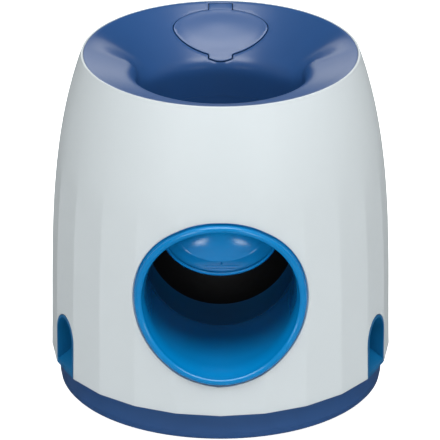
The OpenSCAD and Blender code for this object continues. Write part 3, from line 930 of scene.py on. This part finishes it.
def build_fittings():
    """Bracket under the lid's finger tab and the two lugs that hold the hinge pin."""
    def place(c):
        return slope_point(c[0], c[1], c[2])
    v, f = rounded_box((-9.0, 29.7, -5.6), (9.0, 36.4, -2.0), 0.5, place)
    ob = mesh_object("funnel_fittings", v, f)
    v, f = rounded_box((-6.3, 26.0, -3.4), (6.3, 33.9, 4.0), 0.3, place)
    boolean(ob, mesh_object("recess", v, f), "DIFFERENCE")
    v, f = lathe([(0.0, 100.0), (42.9, 100.0), (42.9, 190.0), (0.0, 190.0)], 96,
                 lambda r, a, h: Vector((r * math.cos(a), r * math.sin(a), h)), closed=False)
    boolean(ob, mesh_object("throat", v, f), "DIFFERENCE")
    c = slope_point(0.0, PIN_S, -1.3)
    for side in (-1, 1):
        v, f = lathe([(0.0, 6.1), (1.0, 6.1), (1.25, 6.35), (1.25, 10.25), (1.0, 10.5), (0.0, 10.5)], 32,
                     lambda r, a, h: Vector((side * h, c.y + r * math.cos(a), c.z + r * math.sin(a))), closed=False)
        boolean(ob, mesh_object("lug", v, f), "UNION")
    shade(ob, 38.0)
    return ob


def build_gap_shade_blocks():
    """Near-black blocks under the gaps between the lid's hinge strap and the lugs: painted shade that makes the gaps
    read dark.
    """
    verts, faces = [], []
    for side in (-1, 1):
        for x0, x1, s0, s1, h0, h1 in ((5.84, 6.6, 0.6, 4.4, -1.0, -0.4), (5.86, 6.6, 1.15, 4.4, -1.5, -0.9), (5.9, 7.6, 1.25, 5.2, -2.7, -1.75)):
            v, f = rounded_box((min(x0 * side, x1 * side), s0, h0), (max(x0 * side, x1 * side), s1, h1), 0.06,
                               lambda c: slope_point(c[0], c[1], c[2]))
            faces += [tuple(len(verts) + i for i in q) for q in f]
            verts += v
    return mesh_object("hinge_gap_shade", verts, faces)


def build_lid():
    R = 0.35
    th = 2.0
    dirs = poly_normals(LID)
    # the hinge side has a finer edge and a wall that leans in further, so that it swings free
    hinge = [max(0.0, min(1.0, (15.0 - q[1]) / 4.0)) for q in LID]
    soft = [R + (0.1 - R) * k for k in hinge]
    inner = [(q[0] - g * d[0], q[1] - g * d[1]) for q, d, g in zip(LID, dirs, soft)]

    def height(x, s):
        k = max(0.0, 1 - (x / 21.5) ** 2 - ((s - 17.8) / 12.0) ** 2)
        return 0.65 * k * k * (3 - 2 * k)

    dom, hs = [], []
    edges = []

    def loop(poly, h):
        base = len(dom)
        for k, p in enumerate(poly):
            dom.append(p)
            hs.append(h(p) if callable(h) else h)
            edges.append((base + k, base + (k + 1) % len(poly)))
        return list(range(base, base + len(poly)))

    rim = loop(inner, lambda p: height(*p))
    s = 3.0
    while s < 34.0:
        fine = s > 24.8
        x = -24.0
        while x <= 24.01:
            p = (x, s)
            if inside_poly(p, inner) and poly_dist(p, inner) > (0.3 if fine else 0.5):
                dom.append(p)
                hs.append(height(x, s))
            x += 0.5 if fine and abs(x) < 6.5 else 1.25
        s += 0.6 if fine else 1.2
    faces = cdt(dom, edges, lambda c: not inside_poly(c, inner))
    pn = [on_rear(x, sv) for x, sv in dom]
    verts = [p + n * h for (p, n), h in zip(pn, hs)]
    n0 = len(verts)
    verts += [p - n * th for p, n in pn]
    faces += [tuple(n0 + i for i in reversed(f)) for f in list(faces)]
    last = rim
    for a in (30.0, 60.0, 90.0):
        row = []
        for k, i in enumerate(rim):
            p, n = pn[i]
            out = Vector((dirs[k][0], 0, 0)) + DOWN * dirs[k][1]
            row.append(len(verts))
            verts.append(verts[i] + out * (soft[k] * math.sin(rad(a))) - n * (soft[k] * (1 - math.cos(rad(a)))))
        strip(faces, last, row)
        last = row
    # drafted side wall
    for k, i in enumerate(rim):
        p, n = pn[i]
        out = Vector((dirs[k][0], 0, 0)) + DOWN * dirs[k][1]
        verts[n0 + i] = p - out * (0.35 + 0.5 * hinge[k]) - n * th
    strip(faces, last, [n0 + i for i in rim])
    ob = mesh_object("filling_lid_skin", verts, faces, 38.0)

    # hinge strap: flat on top, rounded round the pin
    prof = [(PIN_S + 1.25 * math.cos(rad(a)), -1.3 + 1.25 * math.sin(rad(a))) for a in range(165, 271, 15)]
    prof = [(6.2, -0.12), (4.6, -0.06), (1.3, -0.04), (1.18, -0.1), (1.13, -0.25), (1.13, -0.6)] + prof + [(3.4, -2.35), (4.6, -1.95), (6.2, -1.9)]
    bev = 0.22
    shrink = offset_poly(prof, -bev)
    rows = [(-5.8, shrink), (-5.8 + bev * 0.3, offset_poly(prof, -bev * 0.3)), (-5.8 + bev, prof),
            (5.8 - bev, prof), (5.8 - bev * 0.3, offset_poly(prof, -bev * 0.3)), (5.8, shrink)]
    sv, sf = [], []
    ids = []
    for x, poly in rows:
        ids.append(list(range(len(sv), len(sv) + len(poly))))
        sv += [slope_point(x, s_, h) for s_, h in poly]
    for a, b in zip(ids, ids[1:]):
        strip(sf, a, b)
    sf.append(tuple(ids[0]))
    sf.append(tuple(reversed(ids[-1])))
    strap = mesh_object("strap", sv, sf)
    boolean(ob, strap, "UNION")

    # bore for the pin
    def along_x(r, a, h):
        c = slope_point(0.0, PIN_S, -1.3)
        return Vector((h, c.y + r * math.cos(a), c.z + r * math.sin(a)))
    bv, bf = lathe([(0.0, -8.0), (0.75, -8.0), (0.75, 8.0), (0.0, 8.0)], 24, along_x, closed=False)
    bore = mesh_object("bore", bv, bf)
    boolean(ob, bore, "DIFFERENCE")
    shade(ob, 38.0)
    return ob


# ---------------------------------------------------------------- front tube
def build_tube():
    end_y = -26.0
    cut = math.degrees(math.acos((96.0 - TUBE_Z) / TUBE_R))
    phis = []
    k = 0
    n = 168
    base = sorted(set([360.0 * i / n - 180.0 for i in range(n)]
                      + [cut - 0.08, cut + 0.08, -cut - 0.08, -cut + 0.08]))
    phis = [p for p in base if not (0.08 < abs(abs(p) - cut) < 0.9)]

    def env(x, z):
        """Smooth skin of the shell at x, z: point and normal."""
        r = shell_rad(z)
        th = math.asin(max(-1.0, min(1.0, x / r)))
        dz = (shell_rad(z + 0.05) - shell_rad(z - 0.05)) / 0.1
        nrm = Vector((math.sin(th), -math.cos(th), -dz)).normalized()
        return Vector((x, -r * math.cos(th), z)), nrm

    bead_c, bead_r = 40.4, 1.65            # half-round bead: radius of its middle line, its own radius
    rows = []

    def ring(fn):
        rows.append([fn(rad(p), abs(p) < cut) for p in phis])

    def xz(rho, a):
        return rho * math.sin(a), TUBE_Z + rho * math.cos(a)

    def on_env(rho, h):
        def fn(a, top):
            x, z = xz(rho, a)
            p, nrm = env(x, z)
            return p + nrm * h
        return fn

    def deep(rho, dy, rho_top=None, dy_top=None):
        """Point at a radius, dy behind the skin; the open ceiling takes its own values."""
        def fn(a, top):
            x, z = xz(rho_top if top and rho_top else rho, a)
            return Vector((x, env(x, z)[0].y + (dy_top if top and dy_top is not None else dy), z))
        return fn

    def bore(rho, f, rho_top, dy_top):
        def fn(a, top):
            x, z = xz(rho_top if top else rho, a)
            y0 = env(x, z)[0].y
            return Vector((x, y0 + dy_top if top else y0 + 12.0 + (end_y - y0 - 12.0) * f, z))
        return fn

    # flange behind the shell, floor of the groove, bead
    ring(deep(39.4, 4.9))
    ring(deep(45.6, 4.9))
    ring(deep(45.8, 4.75))
    ring(deep(45.8, 4.0))
    ring(deep(45.6, 3.85))
    ring(deep(43.15, 3.85))
    ring(deep(43.15, 1.75))
    ring(deep(43.0, 1.6))
    ring(deep(42.2, 1.6))
    ring(deep(42.05, 1.45))
    for t in range(0, 181, 12):
        ring(on_env(bead_c + bead_r * math.cos(rad(t)), -0.05 + bead_r * math.sin(rad(t))))
    # mouth of the tube, drawn in to its bore
    for rho, dy, dy_t in ((38.68, 0.6, 0.6), (38.5, 1.6, 1.3), (38.1, 3.0, 2.0), (37.6, 5.0, 2.7), (37.2, 7.5, 3.4),
                          (37.02, 10.0, 4.0)):
        ring(deep(rho, dy, 38.6, dy_t))
    for f in (0.0, 0.15, 0.35, 0.6, 0.85, 0.985):
        ring(bore(TUBE_R, f, 38.6, 4.6 + 0.9 * f))
    ring(bore(TUBE_R + 0.15, 1.0, 38.7, 5.6))
    ring(bore(TUBE_R + 2.0, 1.0, 39.1, 5.6))
    ring(bore(TUBE_R + 2.2, 0.98, 39.2, 5.5))
    for f in (0.7, 0.4, 0.1):
        ring(bore(TUBE_R + 2.2, f, 39.2, 5.1 + 0.4 * f))
    verts, ids = [], []
    for row in rows:
        ids.append(list(range(len(verts), len(verts) + len(row))))
        verts += row
    faces = []
    for a, b in zip(ids, ids[1:] + ids[:1]):
        strip(faces, a, b)
    return mesh_object("front_tube_skin", verts, faces, 38.0)


# ---------------------------------------------------------------- trigger flap
HINGE = Vector((0.0, -28.0, 115.0))
LEAN = Matrix.Rotation(rad(-35.0), 4, "X")


def on_flap(p):
    return HINGE + LEAN @ Vector(p)


def build_flap():
    fa, fb, fd = 29.0, 20.9, 23.8          # oval plate: half width, half height, centre below the axis
    da, db, dh = 21.7, 14.1, 6.0           # oval dome: half width, half height, rise

    def rise(t):
        """Height of the dome at a fraction t of its outline, run out softly at the foot."""
        h = dh * (1.0 - t * t)
        return 1.5 + (h if h > 0.8 else 0.8 * (h / 0.8) ** 1.7 * 0.5 + h * 0.5)

    def front(x, v):
        """Height of the front face at x, v."""
        t = math.hypot(x / da, v / db)
        return rise(t) if t < 1.0 else 1.5

    rows = [(da - 1.4, db - 1.4, -1.5), (25.0, 17.0, -1.5), (fa - 0.7, fb - 0.7, -1.5), (fa - 0.2, fb - 0.2, -1.3),
            (fa, fb, -0.8), (fa, fb, 1.7), (fa - 0.13, fb - 0.13, 2.1), (fa - 0.42, fb - 0.42, 2.36),
            (fa - 0.8, fb - 0.8, 2.42), (fa - 1.1, fb - 1.1, 2.34), (fa - 1.35, fb - 1.35, 2.1),
            (fa - 1.5, fb - 1.5, 1.7), (fa - 1.62, fb - 1.62, 1.54), (fa - 1.9, fb - 1.9, 1.5),
            (fa - 3.0, fb - 3.0, 1.5), (da + 1.4, db + 1.4, 1.5)]
    rows += [(da * (1 - i / 30), db * (1 - i / 30), rise(1 - i / 30)) for i in range(30)]
    rows += [(0.0, 0.0, 1.5 + dh)]
    back = [(0.0, 0.0, 1.5 + dh - 2.3)]
    back += [((da - 1.6) * i / 16, (db - 1.6) * i / 16, rise(i / 16) - 2.3 - 0.4 * (i / 16) ** 4) for i in range(1, 17)]
    segs = 144
    verts, ids = [], []
    for ra, rb, h in rows + back:
        if ra < 1e-6:
            ids.append([len(verts)])
            verts.append(on_flap((0.0, -h, -fd)))
        else:
            ids.append(list(range(len(verts), len(verts) + segs)))
            verts += [on_flap((ra * math.cos(2 * math.pi * k / segs), -h, -fd + rb * math.sin(2 * math.pi * k / segs)))
                      for k in range(segs)]
    faces = []
    for u, w in zip(ids, ids[1:] + ids[:1]):
        if len(u) == 1 and len(w) == 1:
            continue
        for k in range(segs):
            k2 = (k + 1) % segs
            if len(u) == 1:
                faces.append((u[0], w[k2], w[k]))
            elif len(w) == 1:
                faces.append((u[k], u[k2], w[0]))
            else:
                faces.append((u[k], u[k2], w[k2], w[k]))
    ob = mesh_object("trigger_flap_skin", verts, faces, 30.0)

    def hub(r, a, h):
        return on_flap((h, r * math.cos(a), r * math.sin(a)))
    v, f = lathe([(0.0, -30.0), (4.4, -30.0), (4.82, -29.82), (5.0, -29.4), (5.0, 0.0), (5.0, 29.4), (4.82, 29.82),
                  (4.4, 30.0), (0.0, 30.0)], 48, hub, closed=False)
    boolean(ob, mesh_object("hub", v, f), "UNION")
    v, f = rounded_box((-14, -1.5, -9), (14, 1.5, -1), 0.5, on_flap)
    boolean(ob, mesh_object("web", v, f), "UNION")
    # two thin moulded bars and a tick under the dome
    for x0, x1, v0, v1, h in ((-7.6, 8.8, 16.1, 16.7, 1.9), (-5.6, 6.8, 17.5, 17.95, 1.85), (0.1, 1.0, 15.2, 16.4, 1.88)):
        v, f = rounded_box((x0, -h, -fd - v1), (x1, 0.0, -fd - v0), 0.16, on_flap)
        boolean(ob, mesh_object("bar", v, f), "UNION")
    v, f = lathe([(0.0, -40.0), (2.52, -40.0), (2.52, 40.0), (0.0, 40.0)], 40, hub, closed=False)
    boolean(ob, mesh_object("hub_bore", v, f), "DIFFERENCE")
    shade(ob, 30.0)
    return ob


# ---------------------------------------------------------------- pieces
settle(build_shell(), "outer_shell")
settle(build_funnel(), "funnel")
settle(build_fittings(), "funnel")
# near-black blocks under the hinge gaps: painted shade
settle(build_gap_shade_blocks(), "funnel", SHADE_BLACK)
settle(build_lid(), "filling_lid")
settle(build_tube(), "front_tube")
# the flap takes the lighter blue: painted light
settle(build_flap(), "trigger_flap", LIT_GLOSS_BLUE)

# The chutes and the cradle take darker copies of the blue plastic: painted shade inside the outlets and at the rear of
# the tube.
OWN = {"left_chute": CHUTE_BLUE_SHADED, "right_chute": CHUTE_BLUE_SHADED, "tube_cradle": CRADLE_BLUE_SHADED}
SHOWN = ("outer_shell", "funnel", "filling_lid", "front_tube", "trigger_flap")
for name, ob in frame["nodes"].items():
    if name in SHOWN:
        continue
    ob.data.materials.clear()
    ob.data.materials.append(OWN.get(name) or FINISH[SLOT[name]])


# ---------------------------------------------------------------- stage and light
def stage_plane(name, z, shine):
    me = bpy.data.meshes.new(name)
    s = 6.0
    me.from_pydata([(-s, -s, z), (s, -s, z), (s, s, z), (-s, s, z)], [], [(0, 1, 2, 3)])
    ob = bpy.data.objects.new(name, me)
    scene.collection.objects.link(ob)
    m = bpy.data.materials.new(name)
    m.use_nodes = True
    b = m.node_tree.nodes["Principled BSDF"]
    b.inputs["Base Color"].default_value = (0.9, 0.9, 0.9, 1.0)
    b.inputs["Roughness"].default_value = 0.9
    b.inputs["Emission Color"].default_value = (1.0, 1.0, 1.0, 1.0)
    b.inputs["Emission Strength"].default_value = shine
    me.materials.append(m)
    return ob


def area(name, azimuth, elevation, distance, size, power, glossy=True, at=(0.0, 0.0, 0.09)):
    """Soft box aimed at the object; azimuth 0 is in front of it, positive to its right."""
    d = bpy.data.lights.new(name, "AREA")
    d.shape = "RECTANGLE"
    d.size, d.size_y = size
    d.energy = power
    ob = bpy.data.objects.new(name, d)
    a, e = rad(azimuth), rad(elevation)
    ob.location = Vector(at) + distance * Vector((math.sin(a) * math.cos(e), -math.cos(a) * math.cos(e), math.sin(e)))
    ob.rotation_euler = (Vector(at) - ob.location).to_track_quat("-Z", "Y").to_euler()
    ob.visible_camera = False
    ob.visible_glossy = glossy
    scene.collection.objects.link(ob)
    return ob


POWER = {"key": 15.8, "front_left": 3.7, "front_right": 3.2, "side_left": 5.0, "side_right": 8.0, "back": 11.0,
         "overhead": 2.4, "frontal": 1.0, "floor": 0.0, "world": 0.06}
# the floor the camera sees, and under it the plane that throws light back at the object
floor = stage_plane("floor", -0.0002, 1.0)
floor.visible_diffuse = floor.visible_glossy = floor.visible_shadow = floor.visible_transmission = False
bounce = stage_plane("bounce", -0.0004, POWER["floor"])
bounce.visible_camera = bounce.visible_glossy = False
area("key", 0.0, 66.0, 1.5, (1.4, 0.48), POWER["key"])
area("front_left", -29.0, 10.5, 1.6, (0.44, 0.42), POWER["front_left"])
area("front_right", 29.0, 10.5, 1.6, (0.44, 0.42), POWER["front_right"])
area("side_left", -75.0, 42.0, 1.6, (0.9, 1.2), POWER["side_left"], glossy=False)
area("side_right", 75.0, 42.0, 1.6, (0.9, 1.2), POWER["side_right"], glossy=False)
area("back", 180.0, 19.0, 2.2, (2.6, 1.0), POWER["back"])
area("overhead", 0.0, 90.0, 1.6, (0.8, 0.8), POWER["overhead"])
area("frontal", 0.0, 45.0, 1.6, (0.6, 0.25), POWER["frontal"])
world = bpy.data.worlds.new("world")
world.use_nodes = True
bg = world.node_tree.nodes["Background"]
bg.inputs["Color"].default_value = (1.0, 1.0, 1.0, 1.0)
bg.inputs["Strength"].default_value = POWER["world"]
scene.world = world
scene.view_settings.view_transform = "Standard"
scene.view_settings.look = "None"
